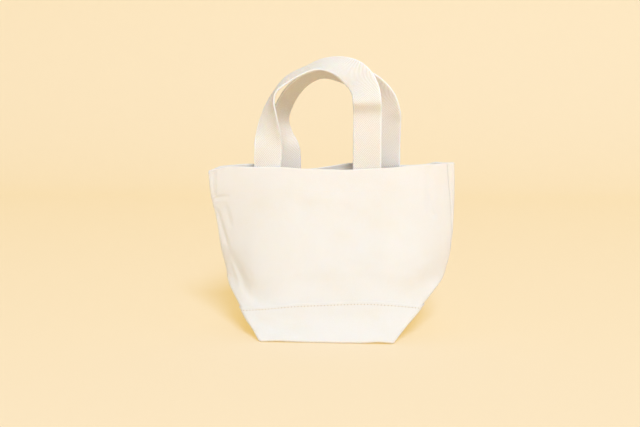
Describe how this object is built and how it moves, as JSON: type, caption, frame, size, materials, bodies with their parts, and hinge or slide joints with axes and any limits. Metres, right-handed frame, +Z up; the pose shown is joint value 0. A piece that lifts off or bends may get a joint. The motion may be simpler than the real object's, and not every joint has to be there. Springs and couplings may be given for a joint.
{
  "type": "cotton tote bag",
  "caption": "Small open-topped canvas tote with a boxed base that laps over its walls, and webbing handles that swing at the rim.",
  "frame": {"origin": "middle of the flat underside, where the bag stands", "axes": "+Z up, -Y towards the front panel, +X to the right as seen from the front"},
  "size_m": [0.2792, 0.1444, 0.313],
  "materials": {
    "canvas": "matt undyed cotton canvas, plain weave",
    "webbing": "matt heavy cotton webbing, twill weave with firm edges",
    "thread": "spun sewing thread"
  },
  "bodies": {
    "bag": {"front_panel": "canvas", "front_hem_facing": "canvas", "front_hem_stitching": "thread", "front_lap_stitching": "thread", "back_panel": "canvas", "back_hem_facing": "canvas", "back_hem_stitching": "thread", "back_lap_stitching": "thread", "base_panel": "canvas", "right_side_allowance": "canvas", "right_side_overlock": "thread", "left_side_allowance": "canvas", "left_side_overlock": "thread", "right_corner_allowance": "canvas", "right_corner_overlock": "thread", "left_corner_allowance": "canvas", "left_corner_overlock": "thread", "front_handle_left_end": "webbing", "front_handle_left_stitching": "thread", "front_handle_right_end": "webbing", "front_handle_right_stitching": "thread", "back_handle_left_end": "webbing", "back_handle_left_stitching": "thread", "back_handle_right_end": "webbing", "back_handle_right_stitching": "thread"},
    "front_handle": {"front_handle": "webbing"},
    "back_handle": {"back_handle": "webbing"}
  },
  "joints": [
    {"name": "front_handle_swing", "type": "hinge", "parent": "bag", "child": "front_handle", "pos_m": [0, -0.022, 0.189], "axis": [1, 0, 0], "range_deg": [0, 150]},
    {"name": "back_handle_swing", "type": "hinge", "parent": "bag", "child": "back_handle", "pos_m": [0, 0.022, 0.189], "axis": [-1, 0, 0], "range_deg": [0, 150]}
  ]
}
